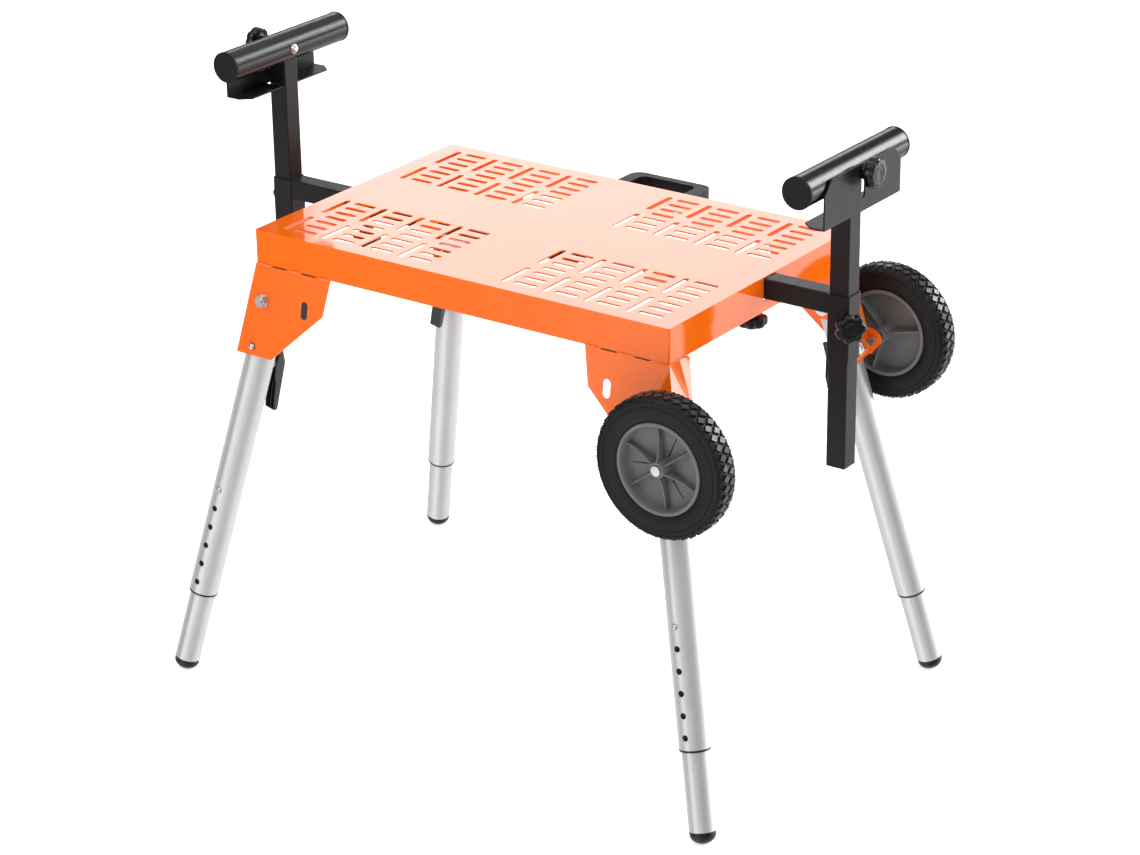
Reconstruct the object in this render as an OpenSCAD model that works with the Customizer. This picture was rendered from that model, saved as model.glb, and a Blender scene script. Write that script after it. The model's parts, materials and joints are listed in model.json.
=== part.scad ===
// Folding stand for a mitre saw: slotted steel table, four folding telescopic
// legs, two wheels and two sliding extension arms with height-adjustable rollers.
// Millimetres, +Z up. Origin: on the floor under the centre of the table.
// +X runs along the table towards the wheels, +Y towards the carry handle.

/* [Node] */
// Which node to draw

/* [Table] */
// Table length along X
table_w = 715; // [650:5:800]
// Table depth along Y
table_d = 468; // [400:2:520]
// Height of the table's top face above the floor
table_h = 704; // [650:2:800]
// Depth of the folded skirt
skirt = 51; // [40:1:70]
// Sheet thickness of the table
sheet = 2; // [1.5:0.5:3]
// Width of the slots in the table top
slot_w = 9; // [7:0.5:12]
// Length of the slots that run along Y
slot_long = 63; // [50:1:80]
// Length of the slots that run along X
slot_short = 38; // [30:1:50]

/* [Legs] */
// Height of the leg pivots above the floor
pivot_z = 596; // [560:1:620]
// Distance of the leg pivots from the centre along X
pivot_x = 341; // [330:0.1:342]
// How much nearer to the centre the right pivots are
right_in = 4; // [0:0.5:8]
// Distance of the leg pivots from the centre along Y
pivot_y = 218.6; // [200:0.1:230]
// Splay of the legs along X, in degrees
splay_x = 12.3; // [5:0.1:12.4]
// Lean of the brackets and legs along Y, in degrees
splay_y = 9.33; // [5:0.01:14]
// Outside radius of the leg tubes
leg_r = 22; // [18:0.5:22]
// Outside radius of the inner leg tubes
inner_r = 19; // [16:0.1:19.2]
// Distance between the leg's locking holes
hole_pitch = 31; // [25:1:40]
// Number of locking holes in each leg
hole_n = 6; // [3:1:8]
// Sheet thickness of the leg brackets
plate = 2.5; // [2:0.5:4]

/* [Arms] */
// Outside width of the square tubes
tube = 30; // [25:1:40]
// Wall of the square tubes
tube_wall = 1.5; // [1:0.1:3]
// Distance of each arm from the table's centre line
arm_y = 16.5; // [16.2:0.1:25]
// Distance of the posts from the centre along X
post_x = 476; // [460:1:500]
// Height of the right roller's centre
roller_z_right = 880; // [860:1:930]
// Height of the left roller's centre
roller_z_left = 903; // [860:1:930]
// Outside radius of the rollers
roller_r = 22.5; // [18:0.5:26]
// Length of the rollers over their end caps
roller_len = 257; // [200:1:300]
// Outside width of the stop plates
stop_w = 199; // [150:1:240]

/* [Wheels] */
// Outside radius of the tyres
wheel_r = 100; // [80:1:120]
// Width of the tyres
wheel_w = 38; // [30:1:50]
// Radius of the hub's rim
rim_r = 64; // [55:1:75]
// Radius of the axles
axle_r = 6; // [5:0.5:8]
// Axle distance from the centre along X
axle_x = 391; // [385:1:400]
// Axle height
axle_z = 538; // [520:1:550]

/* [Knobs] */
// Outside radius of the knobs
knob_r = 22; // [18:0.5:28]
// Radius of the clamping screws
screw_r = 4; // [3:0.5:5]

/* [Hidden] */
$fn = 64;
top_under = table_h - sheet;
skirt_z = table_h - skirt;
half_w = table_w / 2;
half_d = table_d / 2;
gap_half = 22.5;
stop_knob_x = roller_r + 1 + plate + 0.3;
stop_neck_right = 9;
stop_neck_left = 15;
drop = (pivot_z - skirt_z) / cos(splay_y);
foot_dome = 14.5;
foot_band = 4.5;
foot_rim = (pivot_z - 18.9) / (cos(splay_x) * cos(splay_y));
arm_top = top_under - 0.5;
arm_bot = arm_top - tube;
sleeve_half = 17;
sleeve_in = 15.4;
sleeve_bot = 606;
sleeve_knob_z = 663;
lock_t = -73;
hinge_v = -27.5;
hinge_t = -104;
holes_t = -309.4;
leg_end = -482;
wheel_y = 294.3;
clamp_x = 329;
orange = [0.93, 0.36, 0.10];
black = [0.09, 0.09, 0.10];
alu = [0.78, 0.78, 0.79];
zinc = [0.75, 0.76, 0.78];
rubber = [0.07, 0.07, 0.07];
grey = [0.33, 0.33, 0.34];

// ---- helpers -------------------------------------------------------------

// A slot with round ends along local X, as a flat shape.
module slot2(len, w) {
    square([len - w, w], center = true);
    for (s = [-1, 1]) translate([s * (len - w) / 2, 0]) circle(d = w, $fn = 24);
}

// A square with round corners, as a flat shape.
module rsquare(w, h, r) {
    square([w - 2 * r, h], center = true);
    square([w, h - 2 * r], center = true);
    for (i = [-1, 1], j = [-1, 1])
        translate([i * (w / 2 - r), j * (h / 2 - r)]) circle(r = r, $fn = 24);
}

// A square tube from z = 0 to z = len.
module square_tube(out, wall, len) {
    linear_extrude(len) difference() {
        rsquare(out, out, 2);
        rsquare(out - 2 * wall, out - 2 * wall, 0.8);
    }
}

// Mirrors the right-rear corner to any of the four corners. $in is how much
// nearer to the centre this corner's pivot is.
module corner(sx, sy) {
    $in = sx > 0 ? right_in : 0;
    mirror([sx < 0 ? 1 : 0, 0, 0]) mirror([0, sy < 0 ? 1 : 0, 0]) children();
}

// The leaning plane of a bracket, origin at the leg's pivot, local Y outward.
module bracket_frame() {
    translate([pivot_x - $in, pivot_y, pivot_z]) rotate([splay_y, 0, 0]) children();
}

// The frame of a leg: local -Z runs down the leg, local Y is the pivot axis.
module leg_frame() {
    bracket_frame() rotate([0, -splay_x, 0]) children();
}

// Turns the right arm unit half a turn about Z for the left one.
module side(s) {
    rotate([0, 0, s < 0 ? 180 : 0]) children();
}

// A cylinder along local +Y from y0 to y1.
module rod_y(r, y0, y1) {
    translate([0, y0, 0]) rotate([-90, 0, 0]) cylinder(r = r, h = y1 - y0);
}

// A cylinder along local +X from x0 to x1.
module rod_x(r, x0, x1) {
    translate([x0, 0, 0]) rotate([0, 90, 0]) cylinder(r = r, h = x1 - x0);
}

// A hexagon prism along local +Y.
module hex_y(r, y0, y1) {
    translate([0, y0, 0]) rotate([-90, 0, 0]) cylinder(r = r, h = y1 - y0, $fn = 6);
}

// ---- table ---------------------------------------------------------------

module table_slots() {
    for (gx = [0, 1], gy = [0, 1], c = [0:3]) {
        x0 = -322 + 388.2 * gx + 69 * c;
        y0 = -270.6 * gy;
        for (yy = [178.2, 92.4])
            translate([x0, yy + y0]) rotate(90) slot2(slot_long, slot_w);
        for (k = [0:6])
            translate([x0 + 33.5, 68.5 + 22.6 * k + y0]) slot2(slot_short, slot_w);
    }
}

module table_pan() {
    color(orange) {
        translate([0, 0, top_under]) linear_extrude(sheet) difference() {
            rsquare(table_w, table_d, 2.5);
            table_slots();
        }
        translate([0, 0, skirt_z]) difference() {
            linear_extrude(skirt - sheet) difference() {
                rsquare(table_w, table_d, 2.5);
                rsquare(table_w - 2 * sheet, table_d - 2 * sheet, 0.6);
            }
            for (s = [-1, 1])
                translate([s * half_w, s * arm_y, skirt - 17.5])
                    cube([12, tube + 2.4, 35], center = true);
            for (x = [-62, 62])
                translate([x, half_d - 5, 24]) rod_y(3.2, 0, 10);
        }
    }
}

// Guide channels under the table that the two arms slide in, with the
// threaded bosses of the arm clamps.
module arm_guides() {
    color(orange) for (s = [-1, 1], x = [clamp_x, 200]) side(s) {
        translate([x - 20, 0, 0]) difference() {
            union() {
                translate([0, -34, arm_bot - 2.5]) cube([40, 68, tube + 3]);
                if (x == clamp_x)
                    translate([20, arm_y, arm_bot - 12]) cylinder(r = 9, h = 10);
            }
            for (a = [-1, 1])
                translate([-1, a * arm_y - 15.5, arm_bot - 0.5])
                    cube([42, 31, tube + 2]);
            if (x == clamp_x)
                translate([20, arm_y, arm_bot - 13])
                    cylinder(r = screw_r + 0.05, h = 14);
        }
    }
}

// ---- leg brackets --------------------------------------------------------

// Outline of a bracket plate in its own plane; c is the corner's offset.
module plate_outline(c) {
    polygon([[c, -drop], [c - 137, -drop], [c - 126, -drop - 60],
        [c - 37, -drop - 142], [c + 27.8, -drop - 142]]);
}

// A flat shape in the bracket's plane as a sheet from y = y0 inward.
module sheet_at(y0) {
    translate([0, y0, 0]) rotate([90, 0, 0]) linear_extrude(plate) children();
}

// One bracket: outer plate with pivot hole, lock-pin hole and upright slot,
// end flange that narrows downwards, and inner ear round the pivot.
module bracket() {
    c = half_w - pivot_x + $in;
    difference() {
        bracket_sheets(c);
        translate([0, 0, skirt_z]) cube([half_w + 20, half_d + 20, 20]);
    }
}

module bracket_sheets(c) {
    bracket_frame() {
        sheet_at(gap_half + plate) difference() {
            plate_outline(c);
            circle(r = 5.2);
            rotate(splay_x) translate([0, lock_t]) circle(r = 5.6);
            translate([-75.5, 0.3]) rotate(90) slot2(27, 13);
        }
        sheet_at(-gap_half) difference() {
            polygon([[c, -drop], [-18, -drop], [-18, -8], [-8, -18], [c + 14.8, -18]]);
            circle(r = 5.2);
        }
        difference() {
            rotate([90, 0, 0]) linear_extrude(2 * (gap_half + plate), center = true)
                polygon([[c, -drop], [c + 27.8, -drop - 142],
                    [c + 27.8 - plate, -drop - 142], [c - plate, -drop]]);
            rotate([90, 0, 90]) linear_extrude(90) polygon([[-26, -18], [-25, -18],
                [-19, -drop - 143], [-26, -drop - 143]]);
        }
    }
}

// Two ears that carry an axle, welded to the bracket's end flange.
module axle_ears() {
    for (y = [212, 248]) translate([0, y + 4, 0]) rotate([90, 0, 0])
        linear_extrude(4) difference() {
            polygon([[375.4, 553], [388, 553], [398, 548], [403, 540], [402, 533],
                [386.5, 514], [383.4, 514]]);
            translate([axle_x, axle_z]) circle(r = axle_r + 0.1);
        }
}

module brackets_left() {
    color(orange) for (sy = [-1, 1]) corner(-1, sy) bracket();
}

module brackets_right() {
    color(orange) for (sy = [-1, 1]) corner(1, sy) {
        bracket();
        axle_ears();
    }
}

// Pivot bolts with washer and nut, one through each bracket.
module pivot_bolts() {
    color(zinc) for (sx = [-1, 1], sy = [-1, 1]) corner(sx, sy) bracket_frame() {
        rod_y(5, -gap_half - plate - 6, gap_half + plate + 10.5);
        hex_y(9.2, gap_half + plate + 1.5, gap_half + plate + 8.5);
        rod_y(10, gap_half + plate, gap_half + plate + 1.5);
        rod_y(9.5, -gap_half - plate - 6, -gap_half - plate - 1.5);
        rod_y(10.5, -gap_half - plate - 1.5, -gap_half - plate);
    }
}

// ---- legs ----------------------------------------------------------------

// Lug on the leg's inner side that the lever's trunnion turns in.
module hinge_lug() {
    rotate([90, 0, 90]) linear_extrude(2.5) translate([hinge_v, hinge_t]) {
        circle(r = 4.4);
        translate([0, -4.4]) square([11, 8.8]);
    }
}

module leg_tube() {
    color(alu) leg_frame() difference() {
        union() {
            translate([0, 0, leg_end]) cylinder(r = leg_r, h = 8.5 - leg_end);
            for (x = [-12.9, -2.9]) translate([x, 0, 0]) hinge_lug();
        }
        translate([-15, hinge_v, hinge_t]) rod_x(2.06, 0, 16);
        translate([0, 0, leg_end - 1]) cylinder(r = leg_r - 1.8, h = 500);
        rod_y(5.05, -leg_r - 1, leg_r + 1);
        translate([0, 0, lock_t]) rod_y(5.1, 0, leg_r + 1);
        translate([-3.2, -leg_r - 1, lock_t + 5.5]) cube([6.4, 6, 9.5]);
        for (i = [0:hole_n - 1])
            translate([0, 0, holes_t - hole_pitch * i]) rod_y(4.6, 10, leg_r + 1);
    }
}

// Plastic guide ring in the leg's lower end.
module collar() {
    color(black) leg_frame() translate([0, 0, leg_end]) difference() {
        union() {
            translate([0, 0, -3]) cylinder(r = leg_r, h = 3);
            cylinder(r = leg_r - 1.85, h = 12);
        }
        translate([0, 0, -7]) cylinder(r = inner_r + 0.1, h = 30);
    }
}

// Squeeze lever on the inner side of the leg: a channel that is open towards
// the tube, a trunnion in the leg's lugs, and a finger that hooks the pin.
module lock_lever() {
    color(black) leg_frame() {
        difference() {
            translate([-15.8, 0, 0]) rotate([90, 0, 90]) linear_extrude(18.4)
                polygon([[-22.8, -55], [-27, -55], [-28.5, -78], [-33.6, -87],
                    [-42, -102], [-51, -182.4], [-43.5, -183], [-32, -135],
                    [-26, -121], [-22.8, -104]]);
            translate([-13.3, 0, 0]) rotate([90, 0, 90]) linear_extrude(13.4)
                polygon([[-15, -70], [-25.6, -70], [-26.2, -79], [-31.2, -88.5],
                    [-39.4, -103.2], [-48.1, -179.8], [-15, -179.8]]);
        }
        translate([-7.6, 0, 0]) rotate([90, 0, 90]) linear_extrude(2)
            polygon([[-43, -130], [-36, -140], [-44, -180], [-48.5, -180]]);
        translate([0, hinge_v, hinge_t]) rod_x(2, -14, 1);
        translate([-2.6, -24, lock_t + 7]) cube([5.2, 16, 6]);
        translate([-2.6, -11, lock_t - 4]) cube([5.2, 3, 17]);
    }
}

// Spring-loaded lock pin across the leg, with a window for the lever's finger.
module lock_pin() {
    color(zinc) leg_frame() translate([0, 0, lock_t]) difference() {
        rod_y(5, -14.7, gap_half - 0.3);
        translate([-3, -12, -6]) cube([6, 5.5, 12]);
    }
}

module foot_tube() {
    color(alu) leg_frame() difference() {
        translate([0, 0, -foot_rim]) cylinder(r = inner_r, h = foot_rim - 235);
        translate([0, 0, -foot_rim - 1]) cylinder(r = inner_r - 1.6, h = foot_rim);
        translate([0, 0, holes_t]) rod_y(4.4, 5, inner_r + 1);
    }
}

// Domed rubber plug in the inner tube's end, cut level with the floor.
module foot() {
    color(rubber) intersection() {
        leg_frame() translate([0, 0, -foot_rim]) {
            translate([0, 0, -foot_band]) rotate_extrude() polygon(concat(
                [[0, foot_band], [inner_r - 0.3, foot_band]],
                [for (a = [0:10:90]) [(inner_r - 0.3) * cos(a), -foot_dome * sin(a)]]));
            cylinder(r = inner_r - 1.62, h = 20);
        }
        translate([0, 0, 100]) cube([2000, 2000, 200], center = true);
    }
}

module snap_button() {
    color(zinc) leg_frame() intersection() {
        translate([0, 0, holes_t]) union() {
            rod_y(4.3, 15.5, 21);
            rod_y(6.5, 14, 15.5);
        }
        translate([0, 0, holes_t - 20]) cylinder(r = leg_r - 2.1, h = 40);
    }
}

module leg_tube_fl() { corner(-1, -1) leg_tube(); }
module leg_tube_fr() { corner(1, -1) leg_tube(); }
module leg_tube_bl() { corner(-1, 1) leg_tube(); }
module leg_tube_br() { corner(1, 1) leg_tube(); }
module collar_fl() { corner(-1, -1) collar(); }
module collar_fr() { corner(1, -1) collar(); }
module collar_bl() { corner(-1, 1) collar(); }
module collar_br() { corner(1, 1) collar(); }
module lock_lever_fl() { corner(-1, -1) lock_lever(); }
module lock_lever_fr() { corner(1, -1) lock_lever(); }
module lock_lever_bl() { corner(-1, 1) lock_lever(); }
module lock_lever_br() { corner(1, 1) lock_lever(); }
module lock_pin_fl() { corner(-1, -1) lock_pin(); }
module lock_pin_fr() { corner(1, -1) lock_pin(); }
module lock_pin_bl() { corner(-1, 1) lock_pin(); }
module lock_pin_br() { corner(1, 1) lock_pin(); }
module foot_tube_fl() { corner(-1, -1) foot_tube(); }
module foot_tube_fr() { corner(1, -1) foot_tube(); }
module foot_tube_bl() { corner(-1, 1) foot_tube(); }
module foot_tube_br() { corner(1, 1) foot_tube(); }
module foot_fl() { corner(-1, -1) foot(); }
module foot_fr() { corner(1, -1) foot(); }
module foot_bl() { corner(-1, 1) foot(); }
module foot_br() { corner(1, 1) foot(); }
module snap_button_fl() { corner(-1, -1) snap_button(); }
module snap_button_fr() { corner(1, -1) snap_button(); }
module snap_button_bl() { corner(-1, 1) snap_button(); }
module snap_button_br() { corner(1, 1) snap_button(); }

// ---- carry handle --------------------------------------------------------

// Plastic loop handle on the rear skirt.
module carry_handle() {
    color(black) difference() {
        translate([0, 0, 664]) linear_extrude(26) difference() {
            translate([0, half_d + 32]) union() {
                rsquare(140, 104, 18);
                translate([0, -40]) square([150, 24], center = true);
            }
            translate([0, half_d - 30]) square([200, 60], center = true);
            translate([0, half_d + 36]) rsquare(98, 68, 12);
        }
        for (x = [-62, 62]) translate([x, half_d - 1, 677]) rod_y(2.6, 0, 9);
    }
}

module handle_screws() {
    color(zinc) for (x = [-62, 62]) translate([x, 0, 677]) {
        rod_y(2.55, half_d - sheet - 1, half_d + 8);
        rod_y(5.5, half_d - sheet - 3.5, half_d - sheet);
    }
}

// ---- wheels --------------------------------------------------------------

module wheel_axles() {
    color(zinc) for (sy = [-1, 1]) corner(1, sy) translate([axle_x, 0, axle_z]) {
        rod_y(axle_r, 204, 318);
        hex_y(10, 206, 212);
        hex_y(10, 252, 258);
        rod_y(7, 316.4, 318.4);
    }
}

module tyre() {
    t = wheel_w / 2;
    half = [[rim_r, t - 4.2], [rim_r + 1.5, t - 4], [rim_r + 3, t - 2], [rim_r + 14, t],
        [wheel_r - 10, t], [wheel_r - 5, t - 1], [wheel_r - 1, t - 6], [wheel_r, t - 13]];
    color(rubber) translate([axle_x, wheel_y, axle_z]) rotate([-90, 0, 0])
        rotate_extrude($fn = 96)
            polygon(concat(half, [for (i = [len(half) - 1:-1:0]) [half[i][0], -half[i][1]]]));
}

// Spoked plastic hub: boss, web, rim and six ribs.
module wheel_hub() {
    t = wheel_w / 2;
    color(grey) translate([axle_x, wheel_y, axle_z]) rotate([-90, 0, 0]) difference() {
        union() {
            translate([0, 0, -33]) cylinder(r = 11, h = 55);
            rotate_extrude($fn = 96) polygon([[10, -3], [rim_r - 4, -3],
                [rim_r - 4, 1 - t], [rim_r + 1.5, 1 - t], [rim_r + 1.5, 3.9 - t],
                [rim_r, 4.1 - t], [rim_r, t - 4.1], [rim_r + 1.5, t - 3.9],
                [rim_r + 1.5, t], [rim_r - 4, t],
                [rim_r - 4, 1], [10, 1]]);
            for (i = [0:5]) rotate(60 * i + 20) rotate([90, 0, 0])
                translate([0, 0, -1.25]) linear_extrude(2.5)
                    polygon([[8, 0], [8, 20], [22, 13], [40, 11], [rim_r - 3, 17],
                        [rim_r - 3, 0]]);
            for (i = [0:2]) rotate(120 * i + 108) rotate([90, 0, 0])
                translate([0, 0, -1.25]) linear_extrude(2.5)
                    polygon([[8, 0], [8, -17], [rim_r - 3, -14], [rim_r - 3, 0]]);
        }
        translate([0, 0, -40]) cylinder(r = axle_r + 0.08, h = 80);
    }
}

module tyre_front() { corner(1, -1) tyre(); }
module tyre_rear() { corner(1, 1) tyre(); }
module wheel_hub_front() { corner(1, -1) wheel_hub(); }
module wheel_hub_rear() { corner(1, 1) wheel_hub(); }

// ---- arms, posts and rollers --------------------------------------------

module arm() {
    color(black) translate([-60, arm_y, arm_bot + tube / 2]) rotate([0, 90, 0])
        square_tube(tube, tube_wall, post_x - sleeve_half + 60);
}

// Sleeve on the arm's end, with the boss of the clamp screw on one corner.
module post_sleeve() {
    color(black) translate([post_x, arm_y, 0]) difference() {
        union() {
            translate([0, 0, sleeve_bot]) linear_extrude(arm_top - sleeve_bot)
                rsquare(2 * sleeve_half, 2 * sleeve_half, 3);
            translate([0, 0, sleeve_knob_z]) rotate([0, 0, -45]) rod_x(8.5, 18, 27);
        }
        translate([0, 0, sleeve_bot - 1]) linear_extrude(arm_top - sleeve_bot + 2)
            rsquare(2 * sleeve_in, 2 * sleeve_in, 2);
        translate([0, 0, sleeve_knob_z]) rotate([0, 0, -45])
            rod_x(screw_r + 0.05, 10, 32);
    }
}

module post(zr) {
    color(black) translate([post_x, arm_y, 0]) difference() {
        translate([0, 0, zr - 433]) square_tube(tube, tube_wall, 433);
        translate([0, 0, zr]) rod_y(roller_r - 0.02, -60, 60);
    }
}

module roller(zr) {
    color(black) translate([post_x, arm_y, zr]) difference() {
        rod_y(roller_r, -roller_len / 2 + 3, roller_len / 2 - 3);
        rod_y(roller_r - tube_wall, -roller_len / 2, roller_len / 2);
        rod_x(screw_r + 0.2, -roller_r - 1, roller_r + 1);
    }
}

module roller_caps(zr) {
    color(black) translate([post_x, arm_y, zr]) for (s = [-1, 1])
        mirror([0, s < 0 ? 1 : 0, 0]) difference() {
            union() {
                rod_y(roller_r + 0.4, roller_len / 2 - 3, roller_len / 2);
                rod_y(roller_r - tube_wall - 0.05, roller_len / 2 - 15, roller_len / 2 - 2);
            }
            rod_y(roller_r - 3.5, roller_len / 2 - 16, roller_len / 2 - 3);
        }
}

// Carriage bolt through the roller that the stop plate is clamped on.
module stop_bolt(zr, neck) {
    color(zinc) translate([post_x, arm_y, zr]) {
        rod_x(screw_r, -roller_r, stop_knob_x + neck + 9.7);
        rotate([0, -90, 0]) translate([0, 0, roller_r - 0.02])
            rotate_extrude() polygon([[0, 0], [7.5, 0], [7.2, 1.6], [5, 3.4], [2.5, 4.1], [0, 4.3]]);
    }
}

// L-shaped stop: an upright plate with a slot and a notched lower flange.
module stop_plate(zr) {
    color(black) translate([post_x + roller_r + 1, arm_y, zr]) {
        rotate([90, 0, 90]) linear_extrude(plate) difference() {
            polygon([[-stop_w / 2, -57], [stop_w / 2, -57], [stop_w / 2, -8],
                [stop_w / 2 - 18, 11.5], [-stop_w / 2 + 18, 11.5], [-stop_w / 2, -8]]);
            translate([0, -16.5]) rotate(90) slot2(42.5, 9);
        }
        translate([0, 0, -57]) linear_extrude(plate) difference() {
            polygon([[0.5, -stop_w / 2], [-20, -stop_w / 2], [-36, -stop_w / 2 + 14],
                [-36, stop_w / 2 - 14], [-20, stop_w / 2], [0.5, stop_w / 2]]);
            translate([-28.5, 0]) square([54, 36], center = true);
        }
    }
}

// Lobed clamping knob along local +X: neck, head and, unless zero, its screw.
module knob(neck, screw) {
    rod_x(11, 0, neck + 1);
    translate([neck, 0, 0]) rotate([0, 90, 0]) linear_extrude(15) union() {
        circle(r = knob_r - 5);
        for (i = [0:7]) rotate(45 * i) translate([knob_r - 6, 0]) circle(r = 6, $fn = 24);
    }
    if (screw > 0) rod_x(screw_r, -screw, 1);
}

module stop_knob(zr, neck) {
    color(black) translate([post_x + stop_knob_x, arm_y, zr])
        difference() {
            knob(neck, 0);
            rod_x(screw_r + 0.05, -1, neck + 10);
        }
}

module post_knob() {
    color(black) translate([post_x, arm_y, sleeve_knob_z]) rotate([0, 0, -45])
        translate([27.5, 0, 0]) knob(3.5, 6.6);
}

module arm_knob() {
    color(black) translate([clamp_x, arm_y, arm_bot - 12.5]) rotate([0, 90, 0])
        knob(22, 12.2);
}

module arm_right() { side(1) arm(); }
module arm_left() { side(-1) arm(); }
module post_sleeve_right() { side(1) post_sleeve(); }
module post_sleeve_left() { side(-1) post_sleeve(); }
module post_right() { side(1) post(roller_z_right); }
module post_left() { side(-1) post(roller_z_left); }
module roller_right() { side(1) roller(roller_z_right); }
module roller_left() { side(-1) roller(roller_z_left); }
module roller_caps_right() { side(1) roller_caps(roller_z_right); }
module roller_caps_left() { side(-1) roller_caps(roller_z_left); }
module stop_bolt_right() { side(1) stop_bolt(roller_z_right, stop_neck_right); }
module stop_bolt_left() { side(-1) stop_bolt(roller_z_left, stop_neck_left); }
module stop_plate_right() { side(1) stop_plate(roller_z_right); }
module stop_plate_left() { side(-1) stop_plate(roller_z_left); }
module stop_knob_right() { side(1) stop_knob(roller_z_right, stop_neck_right); }
module stop_knob_left() { side(-1) stop_knob(roller_z_left, stop_neck_left); }
module post_knob_right() { side(1) post_knob(); }
module post_knob_left() { side(-1) post_knob(); }
module arm_knob_right() { side(1) arm_knob(); }
module arm_knob_left() { side(-1) arm_knob(); }

table_pan();
brackets_left();
brackets_right();
arm_guides();
carry_handle();
handle_screws();
pivot_bolts();
wheel_axles();
leg_tube_fl();
leg_tube_fr();
leg_tube_bl();
leg_tube_br();
collar_fl();
collar_fr();
collar_bl();
collar_br();
lock_lever_fl();
lock_lever_fr();
lock_lever_bl();
lock_lever_br();
lock_pin_fl();
lock_pin_fr();
lock_pin_bl();
lock_pin_br();
foot_tube_fl();
foot_tube_fr();
foot_tube_bl();
foot_tube_br();
foot_fl();
foot_fr();
foot_bl();
foot_br();
snap_button_fl();
snap_button_fr();
snap_button_bl();
snap_button_br();
tyre_front();
tyre_rear();
wheel_hub_front();
wheel_hub_rear();
arm_left();
arm_right();
post_sleeve_left();
post_sleeve_right();
post_left();
post_right();
roller_left();
roller_right();
roller_caps_left();
roller_caps_right();
stop_bolt_left();
stop_bolt_right();
stop_plate_left();
stop_plate_right();
stop_knob_left();
stop_knob_right();
post_knob_left();
post_knob_right();
arm_knob_left();
arm_knob_right();
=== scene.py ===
import json
import math

import bmesh
import bpy
from mathutils import Matrix, Vector

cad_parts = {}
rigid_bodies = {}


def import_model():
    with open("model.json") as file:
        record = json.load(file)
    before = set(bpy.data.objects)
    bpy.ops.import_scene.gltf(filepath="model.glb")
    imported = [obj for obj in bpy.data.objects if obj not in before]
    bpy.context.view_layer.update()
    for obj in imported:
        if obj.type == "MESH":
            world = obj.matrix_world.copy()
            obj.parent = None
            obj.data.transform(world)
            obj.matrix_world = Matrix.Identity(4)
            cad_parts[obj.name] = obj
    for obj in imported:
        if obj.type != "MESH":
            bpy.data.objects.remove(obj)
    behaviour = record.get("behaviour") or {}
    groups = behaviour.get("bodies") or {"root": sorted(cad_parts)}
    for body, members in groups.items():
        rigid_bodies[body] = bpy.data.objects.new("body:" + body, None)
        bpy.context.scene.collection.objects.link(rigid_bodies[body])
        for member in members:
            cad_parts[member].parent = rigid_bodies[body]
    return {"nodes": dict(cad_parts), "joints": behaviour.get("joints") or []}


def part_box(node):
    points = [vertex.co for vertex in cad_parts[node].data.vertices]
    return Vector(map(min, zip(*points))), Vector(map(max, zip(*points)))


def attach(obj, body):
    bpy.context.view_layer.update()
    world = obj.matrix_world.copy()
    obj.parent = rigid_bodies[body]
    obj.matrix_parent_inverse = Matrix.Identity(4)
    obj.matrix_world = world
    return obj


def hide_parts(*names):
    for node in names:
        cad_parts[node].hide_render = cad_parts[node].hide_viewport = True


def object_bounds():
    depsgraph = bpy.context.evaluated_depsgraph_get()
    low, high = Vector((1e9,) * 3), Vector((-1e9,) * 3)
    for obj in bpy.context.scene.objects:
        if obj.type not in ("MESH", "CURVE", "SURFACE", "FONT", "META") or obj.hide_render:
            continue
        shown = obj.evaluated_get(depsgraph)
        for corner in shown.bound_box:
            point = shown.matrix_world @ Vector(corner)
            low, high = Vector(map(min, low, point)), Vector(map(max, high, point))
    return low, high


for spare in list(bpy.data.objects):
    bpy.data.objects.remove(spare)
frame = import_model()
cad_lo, cad_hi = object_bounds()
nodes = frame["nodes"]
joints = {j["name"]: j for j in frame["joints"]}
scene = bpy.context.scene
scene.view_settings.view_transform = "Standard"

# ---------------------------------------------------------------- camera

cam = bpy.data.objects.new("Camera", bpy.data.cameras.new("Camera"))
scene.collection.objects.link(cam)
scene.camera = cam
cam.data.sensor_width = 36
cam.data.lens = 102.19
cam.data.clip_end = 100
cam_offset = Vector((2.560536, -3.546529, 1.801053))
right = Vector((0.816701, 0.576929, -0.012316))
up = Vector((-0.217474, 0.327484, 0.919489))
back = right.cross(up).normalized()
up = back.cross(right).normalized()
rot = Matrix((right, up, back)).transposed()
centre = Vector((0, 0, (cad_lo.z + cad_hi.z) / 2))
cam.matrix_world = Matrix.Translation(centre + cam_offset) @ rot.to_4x4()

# Side signs (x, y) of the four legs, and the names of the two wheels by side.
CORNER = {"fl": (-1, -1), "fr": (1, -1), "bl": (-1, 1), "br": (1, 1)}
WHEEL = {-1: "front", 1: "rear"}

# ---------------------------------------------------------------- node helpers


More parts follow.
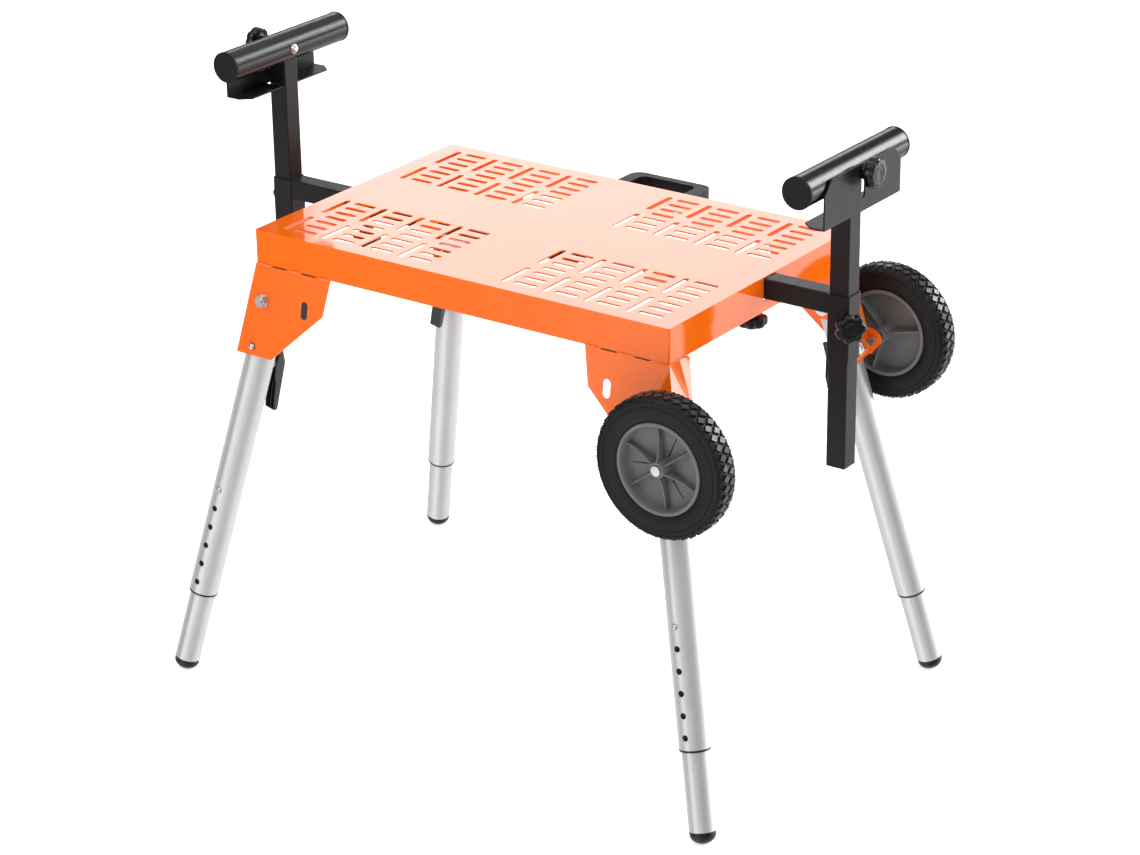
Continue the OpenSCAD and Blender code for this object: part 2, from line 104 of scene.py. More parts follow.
class Tree:
    """A small helper that adds nodes to a material's tree and links them."""

    def __init__(self, name):
        self.mat = bpy.data.materials.new(name)
        self.mat.use_nodes = True
        self.nt = self.mat.node_tree
        self.bsdf = self.nt.nodes["Principled BSDF"]
        self.coord = self.add("ShaderNodeTexCoord").outputs["Object"]

    def add(self, kind, **inputs):
        node = self.nt.nodes.new(kind)
        for key, value in inputs.items():
            self.put(node, key, value)
        return node

    def put(self, node, key, value):
        socket = node.inputs[key]
        if isinstance(value, bpy.types.NodeSocket):
            self.nt.links.new(value, socket)
        else:
            socket.default_value = value

    def shader(self, **values):
        for key, value in values.items():
            self.put(self.bsdf, key.replace("_", " "), value)

    def mapped(self, scale, turn):
        return self.add("ShaderNodeMapping", Vector=self.coord, Scale=scale,
                        Rotation=turn).outputs["Vector"]

    def noise(self, scale, detail, rough=0.5, vector=None):
        return self.add("ShaderNodeTexNoise", Vector=vector or self.coord, Scale=scale,
                        Detail=detail, Roughness=rough).outputs["Fac"]

    def span(self, value, a, b, lo=0.0, hi=1.0):
        """Runs from lo to hi while value goes from a to b."""
        node = self.add("ShaderNodeMapRange")
        for key, v in (("Value", value), ("From Min", a), ("From Max", b),
                       ("To Min", lo), ("To Max", hi)):
            self.put(node, key, v)
        return node.outputs["Result"]

    def mix(self, fac, a, b):
        node = self.add("ShaderNodeMix")
        node.data_type = "RGBA"
        self.put(node, 0, fac)
        self.put(node, 6, a)
        self.put(node, 7, b)
        return node.outputs[2]

    def math(self, op, a, b):
        node = self.add("ShaderNodeMath")
        node.operation = op
        self.put(node, 0, a)
        self.put(node, 1, b)
        return node.outputs[0]

    def bump(self, height, strength, distance, normal=None):
        node = self.add("ShaderNodeBump", Height=height, Strength=strength,
                        Distance=distance)
        if normal is not None:
            self.put(node, "Normal", normal)
        return node.outputs["Normal"]


def rgb(r, g, b):
    return (r, g, b, 1.0)


def powder(name, base, dark, rough, coat, peel, strength, spec=0.5):
    """Powder coat: a little colour drift, fine orange peel and slow waviness."""
    t = Tree(name)
    drift = t.span(t.noise(7, 3), 0.3, 0.7)
    speck = t.span(t.noise(2600, 1), 0.35, 0.75)
    colour = t.mix(t.math("MULTIPLY", drift, 0.6), base, dark)
    colour = t.mix(t.math("MULTIPLY", speck, 0.10), colour, dark)
    wave = t.bump(t.noise(28, 1), 0.10, 0.0012)
    fine = t.bump(t.noise(peel, 2, 0.55), strength, 0.0003, wave)
    t.shader(Base_Color=colour, Roughness=t.span(t.noise(90, 3), 0.3, 0.7, rough - 0.03,
                                                 rough + 0.04), Normal=fine)
    t.shader(Coat_Weight=coat, Coat_Roughness=0.07, Coat_Normal=fine,
             Specular_IOR_Level=spec)
    return t.mat


def aluminium(name, axis):
    """Satin anodised tube with fine drawing lines along its length."""
    t = Tree(name)
    turn = Vector(axis).to_track_quat("Z", "Y").inverted().to_euler()
    lines = t.noise(1.0, 3, 0.6, t.mapped((1500, 1500, 9), turn))
    cloud = t.noise(14, 3)
    colour = t.mix(t.span(lines, 0.3, 0.7), rgb(0.62, 0.62, 0.63), rgb(0.72, 0.72, 0.725))
    colour = t.mix(t.math("MULTIPLY", t.span(cloud, 0.35, 0.7), 0.35), colour,
                   rgb(0.56, 0.56, 0.57))
    t.shader(Base_Color=colour, Metallic=0.70, Normal=t.bump(lines, 0.06, 0.0001),
             Roughness=t.span(lines, 0.25, 0.75, 0.34, 0.42))
    return t.mat


def steel(name, base, rough):
    """Bright zinc plate with faint handling marks."""
    t = Tree(name)
    marks = t.noise(420, 4, 0.65)
    colour = t.mix(t.span(marks, 0.35, 0.75), rgb(*base), rgb(*(0.72 * c for c in base)))
    t.shader(Base_Color=colour, Metallic=0.95, Normal=t.bump(marks, 0.12, 0.0001),
             Roughness=t.span(marks, 0.3, 0.7, rough - 0.05, rough + 0.08))
    return t.mat


def moulded(name, base, rough, grain, strength, spec):
    """Moulded plastic or rubber: even colour, fine grain, slow sink marks."""
    t = Tree(name)
    drift = t.span(t.noise(30, 3), 0.3, 0.7)
    colour = t.mix(t.math("MULTIPLY", drift, 0.5), rgb(*base), rgb(*(0.75 * c for c in base)))
    sink = t.bump(t.noise(60, 1), 0.08, 0.0008)
    fine = t.bump(t.noise(grain, 2, 0.6), strength, 0.0002, sink)
    t.shader(Base_Color=colour, Normal=fine, Specular_IOR_Level=spec,
             Roughness=t.span(t.noise(200, 3), 0.3, 0.7, rough - 0.05, rough + 0.06))
    return t.mat


orange = powder("orange_powder", rgb(0.88, 0.142, 0.004), rgb(0.83, 0.120, 0.002),
                0.34, 1.0, 330, 0.07, 0.0)
# Weld beads: a lighter orange than the table's, as painted highlight on the beads.
weld_painted_highlight_orange = powder("weld_painted_highlight_orange", rgb(0.88, 0.19, 0.03), rgb(0.78, 0.12, 0.01),
                     0.26, 0.6, 330, 0.05, 0.1)
# Near-black orange for the strips in the seam gaps: painted shadow.
seam_shadow = powder("seam_shadow", rgb(0.06, 0.010, 0.002), rgb(0.04, 0.006, 0.001),
                     0.5, 0.0, 330, 0.05)
black = powder("black_powder", rgb(0.0105, 0.0095, 0.0115), rgb(0.016, 0.013, 0.014),
               0.36, 0.0, 900, 0.16, 0.19)
satin = powder("satin_tube", rgb(0.0035, 0.0035, 0.004), rgb(0.006, 0.006, 0.006),
               0.25, 0.0, 900, 0.05, 0.42)
zinc = steel("zinc", (0.74, 0.75, 0.77), 0.24)
tyre_rubber = moulded("tyre_rubber", (0.0075, 0.0075, 0.0082), 0.42, 1500, 0.22, spec=0.22)
tread_rubber = moulded("tread_rubber", (0.011, 0.011, 0.012), 0.34, 1500, 0.15, spec=0.6)
foot_rubber = moulded("foot_rubber", (0.006, 0.006, 0.007), 0.34, 1300, 0.16, spec=0.4)
hub_grey = moulded("hub_grey", (0.132, 0.132, 0.136), 0.42, 1700, 0.18, spec=0.45)
gloss = moulded("black_gloss", (0.0035, 0.0033, 0.004), 0.26, 700, 0.05, spec=0.4)
matte = moulded("black_matte", (0.0055, 0.0052, 0.0065), 0.42, 1400, 0.20, spec=0.22)
lever_black = moulded("lever_black", (0.012, 0.011, 0.013), 0.36, 1400, 0.18, spec=0.5)
pale = moulded("cap_pale", (0.62, 0.62, 0.63), 0.40, 900, 0.10, spec=0.6)
leg_metal = {k: aluminium("anodised_" + k, joints["leg_extend_" + k]["axis"]) for k in CORNER}


def material_for(name):
    """The Blender material of a CAD node."""
    if name in ("table_pan", "brackets_left", "brackets_right", "arm_guides"):
        return orange
    if name.startswith(("leg_tube", "foot_tube")):
        return leg_metal[name[-2:]]
    if name.startswith(("pivot", "wheel_axles", "handle_screws", "lock_pin", "snap",
                        "stop_bolt")):
        return zinc
    if name.startswith("tyre"):
        return tyre_rubber
    if name.startswith("foot_"):
        return foot_rubber
    if name.startswith("wheel_hub"):
        return hub_grey
    if name.startswith("roller_caps"):
        return matte
    if name.startswith("roller"):
        return satin
    if "knob" in name:
        return gloss
    if name.startswith(("collar", "lock_lever")):
        return lever_black
    if name == "carry_handle":
        return matte
    return black


for name, o in nodes.items():
    o.data.materials.clear()
    o.data.materials.append(material_for(name))

# Rounded edges where a sheet was folded or a plastic part was moulded: width and steps.
rounded = {"table_pan": (0.0007, 2), "brackets_left": (0.0005, 1),
           "brackets_right": (0.0005, 1), "carry_handle": (0.0042, 4)}
rounded.update({"stop_plate_" + side: (0.0007, 2) for side in ("left", "right")})
rounded.update({"lock_lever_" + k: (0.0008, 2) for k in CORNER})
for name, (width, steps) in rounded.items():
    o = nodes[name]
    weld = o.modifiers.new("join", "WELD")
    weld.merge_threshold = 0.00002
    bevel = o.modifiers.new("round", "BEVEL")
    bevel.width = width
    bevel.segments = steps
    bevel.limit_method = "ANGLE"
    bevel.angle_limit = math.radians(40)
    bevel.harden_normals = True
    bevel.use_clamp_overlap = True

# ---------------------------------------------------------------- mesh helpers


def piece(name, build, mats, body, replaces=(), smooth=35):
    """A finished piece from a Build, riding on a body; smooth is an angle in degrees."""
    mesh = bpy.data.meshes.new(name)
    mesh.from_pydata([tuple(v) for v in build.v], [], build.f)
    for p, index in zip(mesh.polygons, build.m):
        p.material_index = index
    bm = bmesh.new()
    bm.from_mesh(mesh)
    bmesh.ops.remove_doubles(bm, verts=bm.verts, dist=1e-6)
    bmesh.ops.recalc_face_normals(bm, faces=bm.faces)
    bm.to_mesh(mesh)
    bm.free()
    for p in mesh.polygons:
        p.use_smooth = True
    mesh.set_sharp_from_angle(angle=math.radians(smooth))
    for mat in mats if isinstance(mats, tuple) else (mats,):
        mesh.materials.append(mat)
    o = bpy.data.objects.new(name, mesh)
    scene.collection.objects.link(o)
    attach(o, body)
    if replaces:
        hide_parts(*replaces)
    return o


class Build:
    """Collects vertices and faces of one piece; ink is the material of the next faces."""

    def __init__(self):
        self.v, self.f, self.m, self.ink = [], [], [], 0

    def face(self, corners):
        self.f.append(corners)
        self.m.append(self.ink)

    def grid(self, rows, close_u=False, close_v=False):
        """Faces over a grid of points; rows is a list of equal lists of points."""
        start, n, m = len(self.v), len(rows), len(rows[0])
        for row in rows:
            self.v += [Vector(p) for p in row]
        for i in range(n if close_u else n - 1):
            for j in range(m if close_v else m - 1):
                a, b = i * m, ((i + 1) % n) * m
                j2 = (j + 1) % m
                self.face([start + a + j, start + a + j2, start + b + j2, start + b + j])

    def spin(self, profile, steps, place):
        """Turns a profile of (radius, along) pairs round an axis."""
        rows = []
        for i in range(steps):
            c, s = math.cos(2 * math.pi * i / steps), math.sin(2 * math.pi * i / steps)
            rows.append([place(r * c, r * s, h) for r, h in profile])
        self.grid(rows, close_u=True)

    def fan(self, ring):
        """One flat face over a ring of points."""
        start = len(self.v)
        self.v += [Vector(p) for p in ring]
        self.face(list(range(start, start + len(ring))))

    def loft(self, rings, cap=True):
        """A closed tube through equal rings of points."""
        self.grid(rings, close_v=True)
        if cap:
            self.fan(rings[0])
            self.fan(rings[-1])


def basis(axis, hint):
    """Two directions square to axis, and the axis, for placing round things."""
    w = Vector(axis).normalized()
    u = Vector(hint).cross(w)
    if u.length < 1e-4:
        u = Vector((1, 0, 0)).cross(w)
    u.normalize()
    return u, w.cross(u), w


def placer(origin, axis, hint=(0, 0, 1)):
    """A function from local (across, across, along) to a point in the frame."""
    u, v, w = basis(axis, hint)
    o = Vector(origin)
    return lambda a, b, h: o + u * a + v * b + w * h


# ---------------------------------------------------------------- tyres

# (radius, along the axle), bead to bead, with a fine groove in each sidewall
TYRE = [(0.0640, -0.0150), (0.0672, -0.0172), (0.0700, -0.0184), (0.0760, -0.0190),
        (0.0820, -0.0192), (0.0866, -0.0191), (0.0870, -0.0184), (0.0878, -0.0184),
        (0.0882, -0.0190), (0.0930, -0.0190), (0.0966, -0.0186), (0.0984, -0.0172),
        (0.0990, -0.0145), (0.0993, -0.0070)]
TYRE = TYRE + [(0.0994, 0.0)] + [(r, -y) for r, y in reversed(TYRE)]
GROOVE_END = 9         # first point of TYRE outside the groove
TREAD_BLOCKS = 44      # per row


def carcass(t):
    """A point (along the axle, radius) of the tread and its normal, at t from -1 to 1."""
    pts = [Vector((y, r)) for r, y in TYRE[GROOVE_END:-GROOVE_END]]
    lengths = [0.0]
    for a, b in zip(pts, pts[1:]):
        lengths.append(lengths[-1] + (b - a).length)
    d = (t + 1) / 2 * lengths[-1]
    for i in range(len(pts) - 1):
        if d <= lengths[i + 1] + 1e-12:
            w = (d - lengths[i]) / (lengths[i + 1] - lengths[i])
            p = pts[i].lerp(pts[i + 1], w)
            break
    # Round shoulder, so the blocks wrap smoothly from tread to sidewall.
    n = Vector((0, 1)).lerp(Vector((math.copysign(1, t), 0.2)), min(1, abs(t) ** 4))
    return p, n.normalized()


def tread_block(build, place, outline, depth):
    """A raised block; outline is a list of (angle, share) points."""
    mid_a = sum(a for a, t in outline) / len(outline)
    mid_t = sum(t for a, t in outline) / len(outline)
    rings = []
    for grow, h in ((1.0, -0.0006), (0.97, 0.6 * depth), (0.93, 0.92 * depth),
                    (0.86, depth)):
        ring = []
        for a, t in outline:
            aa, tt = mid_a + (a - mid_a) * grow, mid_t + (t - mid_t) * grow
            p, n = carcass(max(-1, min(1, tt)))
            q = p + n * h
            ring.append(place(q.y * math.cos(aa), q.y * math.sin(aa), q.x))
        rings.append(ring)
    build.loft(rings, cap=False)
    build.fan(rings[-1])


def tyre(sy):
    """Tyre with its tread, on the front (-1) or rear (1) wheel."""
    node = "tyre_" + WHEEL[sy]
    lo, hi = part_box(node)
    place = placer((lo + hi) / 2, (0, sy, 0))
    b = Build()
    b.spin(TYRE, 160, place)
    step = 2 * math.pi / TREAD_BLOCKS
    for i in range(TREAD_BLOCKS):
        for side in (-1, 1):
            off = i * step + (0.5 * step if side > 0 else 0)
            # interleaved diamonds in two rows, and shoulder blocks outside them
            b.ink = 1
            tread_block(b, place, [(off - 0.43 * step, side * 0.29),
                                   (off, side * -0.06), (off + 0.43 * step, side * 0.29),
                                   (off, side * 0.60)], 0.0026)
            b.ink = 0
            tread_block(b, place, [(off + 0.07 * step, side * 0.68),
                                   (off + 0.50 * step, side * 0.42),
                                   (off + 0.93 * step, side * 0.68),
                                   (off + 0.93 * step, side * 0.97),
                                   (off + 0.07 * step, side * 0.97)], 0.0016)
    b.ink = 0
    # closes the tyre on its inner side, behind the hub's rim
    b.spin([TYRE[0], (0.0638, 0.0), TYRE[-1]], 96, place)
    piece("tyre_treaded_" + WHEEL[sy], b, (tyre_rubber, tread_rubber), "wheel_" + WHEEL[sy],
          [node], 30)


for sy in WHEEL:
    tyre(sy)

# ---------------------------------------------------------------- hubs


def rib(build, place, path, foot, thick):
    """An upright rib from height foot; path is a list of (radius, angle, top height)."""
    rings = []
    for i, (r, a, top) in enumerate(path):
        p = Vector((r * math.cos(a), r * math.sin(a)))
        r2, a2, _ = path[min(i + 1, len(path) - 1)]
        r1, a1, _ = path[max(i - 1, 0)]
        d = Vector((r2 * math.cos(a2) - r1 * math.cos(a1),
                    r2 * math.sin(a2) - r1 * math.sin(a1))).normalized()
        n = Vector((-d.y, d.x))
        w = thick / 2
        sign = 1 if top > foot else -1
        ring = []
        for x, h in ((-w * 1.25, foot), (-w, top - sign * 0.0006), (-w * 0.6, top),
                     (w * 0.6, top), (w, top - sign * 0.0006), (w * 1.25, foot)):
            q = p + n * x
            ring.append(place(q.x, q.y, h))
        rings.append(ring)
    build.loft(rings)


SPOKES, SPOKE_IN, SPOKE_OUT, SPOKE_STEPS = 6, 0.0085, 0.0600, 16
# turn of the first spoke, stiffener and fine dark rib (painted groove shade, by side), in
# degrees
SPOKE_TURN, STIFFENER_TURN, RIB_TURN = 36.6, 167, {-1: 66.6, 1: 113.4}


def hub(sy):
    """Spoked plastic hub; local height runs outward from the wheel's middle."""
    c = Vector(joints["wheel_spin_" + WHEEL[sy]]["pos_m"])
    lo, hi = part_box("tyre_" + WHEEL[sy])
    c.y = (lo.y + hi.y) / 2
    place = placer(c, (0, sy, 0))
    b = Build()
    # rim and web
    b.spin([(0.0640, -0.0149), (0.0655, -0.0152), (0.0657, -0.0176), (0.0648, -0.0184),
            (0.0612, -0.0184), (0.0600, -0.0172), (0.0594, -0.0040), (0.0585, -0.0030),
            (0.0100, -0.0030), (0.0062, -0.0030), (0.0062, 0.0010), (0.0100, 0.0010),
            (0.0250, 0.0008), (0.0500, 0.0014), (0.0572, 0.0022), (0.0586, 0.0040),
            (0.0594, 0.0110), (0.0600, 0.0172), (0.0612, 0.0188), (0.0632, 0.0192),
            (0.0650, 0.0186), (0.0657, 0.0172), (0.0655, 0.0152), (0.0640, 0.0149)],
           128, place)
    # boss, outside and inside
    b.spin([(0.0068, 0.0005), (0.0068, 0.0212), (0.0076, 0.0220), (0.0098, 0.0220),
            (0.0110, 0.0212), (0.0116, 0.0150), (0.0122, 0.0040), (0.0140, 0.0008)],
           48, place)
    b.spin([(0.0068, -0.0020), (0.0068, -0.0322), (0.0076, -0.0330), (0.0100, -0.0330),
            (0.0110, -0.0320), (0.0114, -0.0100), (0.0125, -0.0040), (0.0145, -0.0028)],
           48, place)
    # spokes, tall at the boss
    for i in range(SPOKES):
        a = math.radians(SPOKE_TURN + 360 / SPOKES * i)
        path = []
        for k in range(SPOKE_STEPS + 1):
            t = k / SPOKE_STEPS
            top = 0.0086 + 0.0122 * (1 - t) ** 2.6 + 0.0022 * t ** 4
            path.append((SPOKE_IN + t * (SPOKE_OUT - SPOKE_IN), a, top))
        rib(b, place, path, 0.0006, 0.0024)
    # three fine dark ribs outside, painted shade standing for grooves in the web; three
    # stiffeners inside
    for i in range(3):
        a = math.radians(RIB_TURN[sy] + 120 * i)
        b.ink = 1
        rib(b, place, [(0.0165 + 0.0058 * k, a, 0.0017) for k in range(7)], 0.0004, 0.0015)
        b.ink = 0
        a = math.radians(STIFFENER_TURN + 120 * i)
        rib(b, place, [(0.009 + 0.0083 * k, a, -0.0165) for k in range(7)], -0.0026,
            0.0030)
    piece("hub_" + WHEEL[sy], b, (hub_grey, matte), "wheel_" + WHEEL[sy],
          ["wheel_hub_" + WHEEL[sy]], 32)


for sy in WHEEL:
    hub(sy)

# ---------------------------------------------------------------- knobs


KNOB_R = 0.0219
HEAD = 0.0150            # height of a knob's head
THREAD_PITCH = 0.00125


def knob(kind, side, origin, axis, neck, screw, lobes=7, flute=1.0, hint=(0, 0, 1)):
    """Lobed clamping knob: round neck, fluted head with a sunk ring on its face."""
    place = placer(origin, axis, hint)
    b = Build()
    n = lobes * 16

    def ring(radius, dip, h):
        """A ring of the knob; dip is how deep its flutes are."""
        points = []
        for i in range(n):
            a = 2 * math.pi * i / n
            valley = 0.5 - 0.5 * math.cos(lobes * a)
            r = radius - flute * dip * valley ** 1.6
            points.append(place(r * math.cos(a), r * math.sin(a), h))
        return points

    rows = [ring(0.0104, 0, 0.0), ring(0.0110, 0, 0.0006), ring(0.0108, 0, neck - 0.0012),
            ring(0.0125, 0, neck), ring(KNOB_R - 0.0040, 0.0018, neck + 0.0003),
            ring(KNOB_R - 0.0012, 0.0030, neck + 0.0012), ring(KNOB_R, 0.0034, neck + 0.0034),
            ring(KNOB_R, 0.0034, neck + 0.0106), ring(KNOB_R - 0.0012, 0.0032, neck + 0.0130),
            ring(KNOB_R - 0.0036, 0.0022, neck + 0.0146),
            ring(KNOB_R - 0.0068, 0.0008, neck + HEAD),
            ring(0.0122, 0, neck + HEAD), ring(0.0116, 0, neck + 0.0143),
            ring(0.0104, 0, neck + 0.0143), ring(0.0098, 0, neck + 0.0149),
            ring(0.0062, 0, neck + 0.0149), ring(0.0056, 0, neck + 0.0143)]
    b.grid(rows, close_v=True)
    b.fan(rows[-1])
    b.fan(rows[0])
    if screw > 0:
        thread = [(0.0, 0.001)]
        for i in range(int(screw / THREAD_PITCH)):
            thread += [(0.0040, -THREAD_PITCH * i), (0.0035, -THREAD_PITCH * (i + 0.5))]
        b.spin(thread + [(0.0, -screw)], 24, place)
    node = kind + "_knob_" + side
    piece(kind + "_knob_lobed_" + side, b, gloss, node, [node], 38)


SIDE = {"right": 1, "left": -1}
ARM_Y = 0.0165           # the arms lie this far from the middle
POST_KNOB_OUT = 0.0275   # from the post's axis to the knob's foot
ARM_NECK = 0.022

for side, s in SIDE.items():
    lo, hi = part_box("stop_knob_" + side)
    inner = lo.x if s > 0 else hi.x
    knob("stop", side, (inner, s * ARM_Y, (lo.z + hi.z) / 2), (s, 0, 0),
         hi.x - lo.x - HEAD, 0, lobes=8, flute=0.55)
    outward = Vector((s, -s, 0)).normalized()
    post = Vector(joints["post_knob_turn_" + side]["pos_m"])
    knob("post", side, post + outward * POST_KNOB_OUT, outward, 0.0035, 0.0066)
    lo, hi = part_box("arm_knob_" + side)
    x, y, _ = joints["arm_knob_turn_" + side]["pos_m"]
    foot = lo.z + ARM_NECK + HEAD
    knob("arm", side, (x, y, foot), (0, 0, -1), ARM_NECK, hi.z - foot, hint=(1, 0, 0))

# ---------------------------------------------------------------- small hardware


def dome(build, origin, axis, r, h):
    """A domed stud of radius r that stands h proud of its origin."""
    arc = [math.radians(x) for x in (20, 40, 58, 74, 84, 90)]
    profile = [(0.0, h)] + [(r * math.sin(a), h * math.cos(a)) for a in arc] + [(r, -0.0042)]
    build.spin(profile, 24, placer(origin, axis))


# In a leg's own frame: snap button, lock pin and step of the holes along the tube, and how
# far out of its axis the button, the pin and the tube's wall are.
BUTTON_T, PIN_T, HOLE_PITCH = -0.3094, -0.073, 0.031
BUTTON_OUT, PIN_OUT, WALL_OUT = 0.0215, 0.0256, 0.0201
FREE_HOLES = 5
SPLAY, LEAN = math.radians(12.3), math.radians(9.33)


def leg_point(k, x, y, z):
    """A point given in a leg's own frame: -z down the leg, y outward."""
    sx, sy = CORNER[k]
    p = Vector(joints["leg_fold_" + k]["pos_m"])
    u = x * math.cos(SPLAY) - z * math.sin(SPLAY)
    w = x * math.sin(SPLAY) + z * math.cos(SPLAY)
    return p + Vector((sx * u, sy * (y * math.cos(LEAN) - w * math.sin(LEAN)),
                       y * math.sin(LEAN) + w * math.cos(LEAN)))


# Domed ends of the snap buttons and of the lock pins.
for k in CORNER:
    outward = leg_point(k, 0, 1, 0) - leg_point(k, 0, 0, 0)
    b = Build()
    dome(b, leg_point(k, 0, BUTTON_OUT, BUTTON_T), outward, 0.0042, 0.0036)
    piece("button_dome_" + k, b, zinc, "button_" + k)
    b = Build()
    dome(b, leg_point(k, 0, PIN_OUT, PIN_T), outward, 0.0050, 0.0046)
    piece("pin_dome_" + k, b, zinc, "pin_" + k)


# Dark dished discs, set in the wall of each leg tube at its free holes: painted shade for the
# deep holes.
for k in CORNER:
    outward = leg_point(k, 0, 1, 0) - leg_point(k, 0, 0, 0)
    b = Build()
    for i in range(1, FREE_HOLES + 1):
        b.spin([(0.0, 0.00005), (0.0036, 0.0001), (0.0045, 0.0004), (0.0045, 0.0008),
                (0.0042, 0.0007), (0.0034, 0.0003), (0.0, 0.00025)], 24,
               placer(leg_point(k, 0, WALL_OUT, BUTTON_T - HOLE_PITCH * i), outward))
    piece("hole_painted_shade_" + k, b, matte, "leg_" + k)


BEAD_R, RIPPLE = 0.0016, 0.0009


def bead(build, a, b, normal, seed):
    """A weld bead from a to b: overlapping ripples, thinner at its ends."""
    a, b, n = Vector(a), Vector(b), Vector(normal).normalized()
    side = (b - a).normalized().cross(n)
    count = max(6, int((b - a).length / RIPPLE))
    rings = []
    for i in range(count + 1):
        s = i / count
        end = min(1, 6 * s, 6 * (1 - s)) ** 0.5
        wob = 1 + 0.16 * math.sin(5.1 * i) + 0.10 * math.sin(1.7 * i + seed)
        rr = max(0.0002, BEAD_R * end * wob)
        p = a.lerp(b, s) + side * 0.0003 * math.sin(0.9 * i + seed)
        rings.append([p + side * rr * math.cos(x) * 1.25 + n * rr * 0.75 * math.sin(x)
                      for x in (2 * math.pi * j / 8 for j in range(8))])
    build.loft(rings)


# Weld beads between skirt and brackets, and between guide channels and table. The beads
# and the open gaps between them take turns along each bracket, measured from its corner.
BEADS = ((0.001, 0.028), (0.060, 0.080), (0.114, 0.136))
GAPS = ((0.030, 0.056), (0.084, 0.110))
GUIDE_X, GUIDE_Y, GUIDE_BEAD = (0.329, 0.200), 0.034, 0.014

lo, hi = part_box("table_pan")
seam_z = lo.z - 0.0003
guide_z = hi.z - 0.0026
edge = hi.x - 0.0002
b = Build()
for sx, sy in CORNER.values():
    x, y = sx * edge, sy * (hi.y + 0.0004)
    for i, (u0, u1) in enumerate(BEADS):
        bead(b, (x - sx * u0, y, seam_z), (x - sx * u1, y, seam_z), (0, sy, -0.5), i)
    bead(b, (x, y - sy * 0.001, seam_z), (x, y - sy * 0.047, seam_z), (sx, 0, -0.5), 4)
for sx in (-1, 1):
    for sy in (-1, 1):
        for x in GUIDE_X:
            bead(b, (sx * (x - GUIDE_BEAD), sy * GUIDE_Y, guide_z),
                 (sx * (x + GUIDE_BEAD), sy * GUIDE_Y, guide_z), (0, sy, -1), x * 40)
piece("weld_beads_stand", b, weld_painted_highlight_orange, "stand")
# Dark strips in the open gaps between the beads: painted shadow in the seam.
b = Build()
for sx, sy in CORNER.values():
    for u0, u1 in GAPS:
        outline = ((u0, 0.0), (u0 + 0.001, 0.0008), (u1 - 0.001, 0.0008), (u1, 0.0),
                   (u1 - 0.001, -0.0008), (u0 + 0.001, -0.0008))
        b.loft([[(sx * (edge - u), sy * (hi.y + y), seam_z + w) for u, w in outline]
                for y in (0.0010, 0.0004)])
piece("seam_gap_painted_shadow", b, seam_shadow, "stand")

# Domed caps on the ends of the axle bolts.
CAP_Y = 0.3181
b = Build()
for sy in WHEEL:
    c = Vector(joints["wheel_spin_" + WHEEL[sy]]["pos_m"])
    c.y = sy * CAP_Y
    b.spin([(0.0, 0.0016), (0.0030, 0.0016), (0.0050, 0.0013), (0.0058, 0.0006),
            (0.0061, -0.0006), (0.0061, -0.0020), (0.0, -0.0020)], 32,
           placer(c, (0, sy, 0)))
piece("axle_caps", b, pale, "stand")

# Weld beads between each arm and the sleeve on its end.
POST_X, SLEEVE_HALF = 0.476, 0.0171
for side, s in SIDE.items():
    lo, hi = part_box("arm_" + side)
    x = s * (POST_X - SLEEVE_HALF)
    b = Build()
    for y, away in ((lo.y - 0.0002, -1), (hi.y + 0.0002, 1)):
        bead(b, (x, y, lo.z + 0.001), (x, y, hi.z - 0.001), (-s, away, 0), 2)
    bead(b, (x, lo.y + 0.001, lo.z), (x, hi.y - 0.001, lo.z), (-s, 0, -1), 3)
    piece("weld_bead_" + side, b, black, "arm_" + side)

# ---------------------------------------------------------------- stage and light

WHITE = rgb(1, 1, 1)
FLOOR_HALF = 30
floor_mat = Tree("floor")
floor_mat.shader(Base_Color=rgb(0.95, 0.95, 0.95), Roughness=0.9, Specular_IOR_Level=0.1,
                 Emission_Color=WHITE, Emission_Strength=0.6)
mesh = bpy.data.meshes.new("floor")
mesh.from_pydata([(x * FLOOR_HALF, y * FLOOR_HALF, 0) for x, y in
                  ((-1, -1), (1, -1), (1, 1), (-1, 1))], [], [[0, 1, 2, 3]])
mesh.materials.append(floor_mat.mat)
floor = bpy.data.objects.new("floor", mesh)
scene.collection.objects.link(floor)
floor.visible_glossy = False

world = bpy.data.worlds.new("studio")
scene.world = world
world.use_nodes = True
wt = world.node_tree
wn = wt.nodes
wn.clear()


def wnode(kind, **props):
    """A node of the world's tree."""
    n = wn.new(kind)
    for key, value in props.items():
        setattr(n, key, value)
    return n


def wmath(op, a, b):
    n = wnode("ShaderNodeMath", operation=op)
    for i, v in enumerate((a, b)):
        if isinstance(v, bpy.types.NodeSocket):
            wt.links.new(v, n.inputs[i])
        else:
            n.inputs[i].default_value = v
    return n.outputs[0]


def wstep(value, a, b, lo=0.0, hi=1.0):
    """A soft step from lo to hi while value goes from a to b."""
    n = wnode("ShaderNodeMapRange", interpolation_type="SMOOTHSTEP")
    wt.links.new(value, n.inputs["Value"])
    for key, v in (("From Min", a), ("From Max", b), ("To Min", lo), ("To Max", hi)):
        n.inputs[key].default_value = v
    return n.outputs["Result"]


tc = wnode("ShaderNodeTexCoord")
sep = wnode("ShaderNodeSeparateXYZ")
wt.links.new(tc.outputs["Generated"], sep.inputs[0])
dx, dy, dz = sep.outputs
azimuth = wmath("ARCTAN2", dx, dy)


def band(lo_from, lo_to, hi_from, hi_to):
    """One between two compass angles in degrees, with soft edges."""
    return wmath("MULTIPLY", wstep(azimuth, math.radians(lo_from), math.radians(lo_to)),
                 wstep(azimuth, math.radians(hi_from), math.radians(hi_to)))


def both(*factors):
    """The product of all factors."""
    value = factors[0]
    for f in factors[1:]:
        value = wmath("MULTIPLY", value, f)
    return value


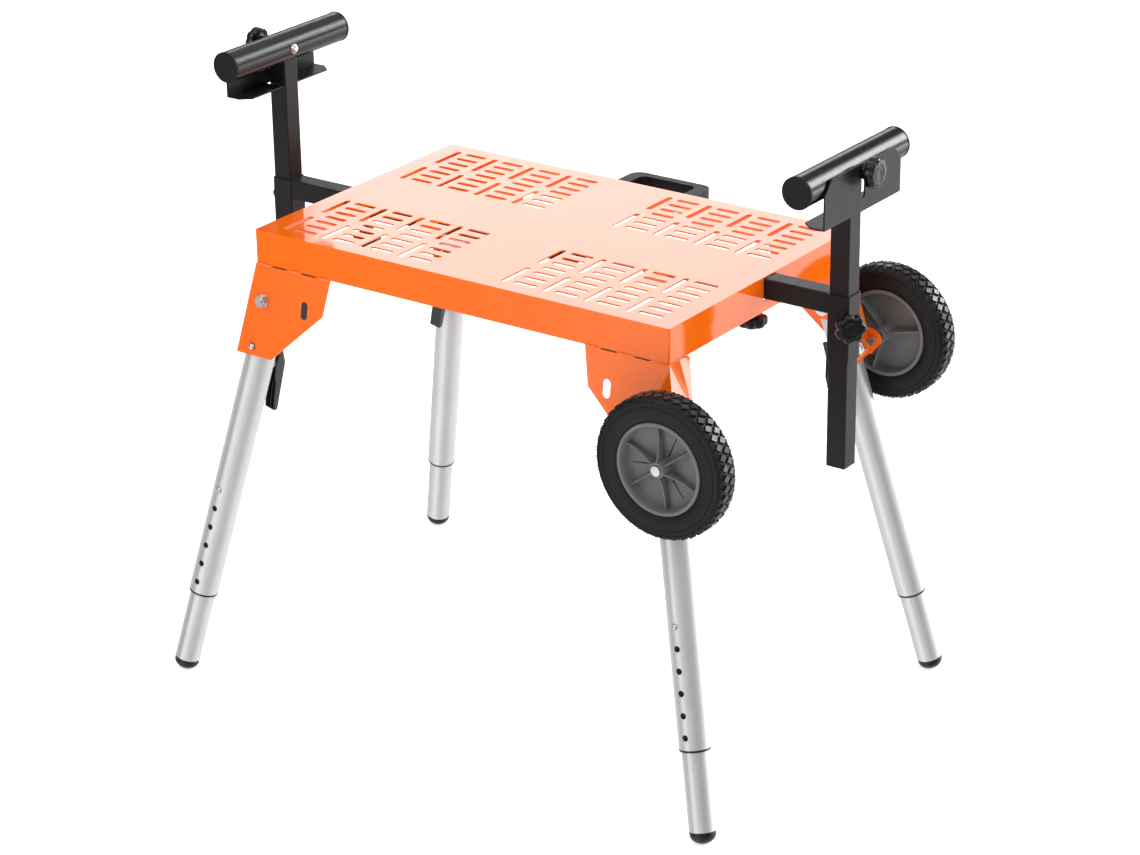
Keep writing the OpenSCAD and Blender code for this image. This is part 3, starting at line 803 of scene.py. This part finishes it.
# Directions above and below the horizon; below it, the floor near by and further down.
above = wstep(dz, -0.02, 0.06)
below = wmath("SUBTRACT", 1.0, above)
near = wstep(dz, -0.402, -0.392)
far = wmath("SUBTRACT", 1.0, near)
parts = [
    # a bright panel behind the object on the left
    both(band(-40.9, -40.1, -22, -29), wstep(dz, 0.20, 0.29), wstep(dz, 0.50, 0.45, 0.0, 3.3)),
    # a narrow lamp low on the right, soft light round it
    both(band(6, 20, 39.5, 37.5), wstep(dz, 0.12, 0.22), wstep(dz, 0.60, 0.44, 0.0, 13.0)),
    both(band(10, 24, 70, 56), above, wstep(dz, 0.50, 0.40, 0.0, 0.2)),
    # the sky: dark on the left, black beside the panel, white overhead
    both(above, wmath("SUBTRACT", 0.17, both(band(-142, -136, -40.1, -40.9), 0.15))),
    wstep(dz, 0.62, 0.70),
    # the floor near by: dark front left and right, brighter right and back
    both(below, wmath("SUBTRACT", 0.86, both(near, band(-146, -138, -98, -112), 0.66))),
    both(below, wstep(azimuth, math.radians(-143), math.radians(-147), 0.0, 0.6)),
    both(below, near, band(84, 96, 150, 132), -0.74),
    both(wstep(dz, -0.388, -0.372), below, band(-20, 0, 78, 40), 1.3),
    both(band(26, 31, 42, 38), wstep(dz, -0.06, -0.12), wstep(dz, -0.25, -0.20), 5.2),
    # and further down, where the legs look
    both(far, band(84, 100, 176, 150), -0.24),
    both(wstep(dz, -0.372, -0.388), band(-30, 0, 84, 60), 0.22),
]
total = parts[0]
for part in parts[1:]:
    total = wmath("ADD", total, part)
backdrop = wnode("ShaderNodeBackground")
backdrop.inputs["Color"].default_value = WHITE
wt.links.new(total, backdrop.inputs["Strength"])
out = wnode("ShaderNodeOutputWorld")
wt.links.new(backdrop.outputs[0], out.inputs[0])


def softbox(name, where, aim, size, power):
    """A soft area lamp turned towards a point."""
    data = bpy.data.lights.new(name, "AREA")
    data.shape = "RECTANGLE"
    data.size, data.size_y = size
    data.energy = power
    o = bpy.data.objects.new(name, data)
    scene.collection.objects.link(o)
    o.location = where
    o.rotation_mode = "QUATERNION"
    o.rotation_quaternion = (Vector(aim) - Vector(where)).to_track_quat("-Z", "Y")
    o.visible_camera = False


softbox("key", (-1.6, -3.2, 3.0), (0, 0, 0.6), (3.0, 2.6), 52)
softbox("fill", (3.4, -1.6, 2.6), (0.1, 0, 0.6), (2.6, 2.6), 34)
